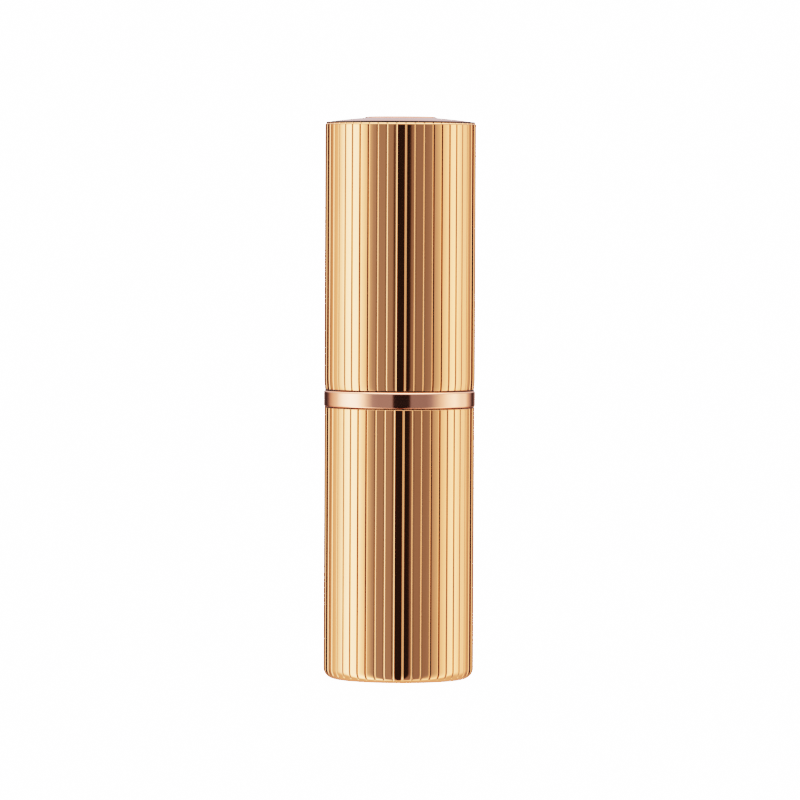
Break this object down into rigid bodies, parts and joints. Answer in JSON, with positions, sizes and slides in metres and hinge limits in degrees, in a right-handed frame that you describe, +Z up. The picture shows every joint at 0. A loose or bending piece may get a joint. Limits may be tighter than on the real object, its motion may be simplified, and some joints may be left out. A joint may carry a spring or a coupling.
{
  "type": "lipstick case",
  "caption": "Round twist-up lipstick case with fluted copper-coloured base and pull-off cap, a plain collar band and a slotted raising mechanism.",
  "frame": {"origin": "centre of the face that the case stands on", "axes": "+Z up along the axis of the case, +X through the carrier's right lug, -Y the side that the bullet's slanted face looks to"},
  "size_m": [0.0206, 0.0206, 0.0766],
  "materials": {
    "copper_anodised_aluminium": "bright copper anodised, polished",
    "rose_anodised_aluminium": "bright rose anodised, polished",
    "turned_steel": "turned, zinc plated",
    "black_moulding": "fine moulded satin",
    "natural_moulding": "unpigmented moulded satin",
    "soft_ring_rubber": "soft matt",
    "blank_label_film": "satin film, blank",
    "lipstick_pomade": "satin wax"
  },
  "bodies": {
    "base": {"base_shell": "copper_anodised_aluminium", "base_weight": "turned_steel", "bottom_label": "blank_label_film", "base_insert": "black_moulding", "inner_tube": "natural_moulding", "friction_ring": "soft_ring_rubber"},
    "twist": {"sleeve": "rose_anodised_aluminium", "spiral_tube": "natural_moulding", "collar_core": "black_moulding", "collar_band": "rose_anodised_aluminium"},
    "carrier": {"carrier_cup": "natural_moulding", "lipstick_bullet": "lipstick_pomade"},
    "cap": {"cap_shell": "copper_anodised_aluminium", "cap_top_plate": "copper_anodised_aluminium", "cap_top_disc": "rose_anodised_aluminium", "cap_liner": "black_moulding"}
  },
  "joints": [
    {"name": "twist", "type": "hinge", "parent": "base", "child": "twist", "pos_m": [0, 0, 0.03715], "axis": [0, 0, 1], "range_deg": [0, 450]},
    {"name": "bullet_rise", "type": "slide", "parent": "base", "child": "carrier", "axis": [0, 0, 1], "range_m": [0, 0.0175]},
    {"name": "cap_lift", "type": "slide", "parent": "twist", "child": "cap", "axis": [0, 0, 1], "range_m": [0, 0.045]}
  ],
  "couplings": [
    {"joint": "bullet_rise", "follows": "twist", "m_per_rad": 0.002228}
  ]
}
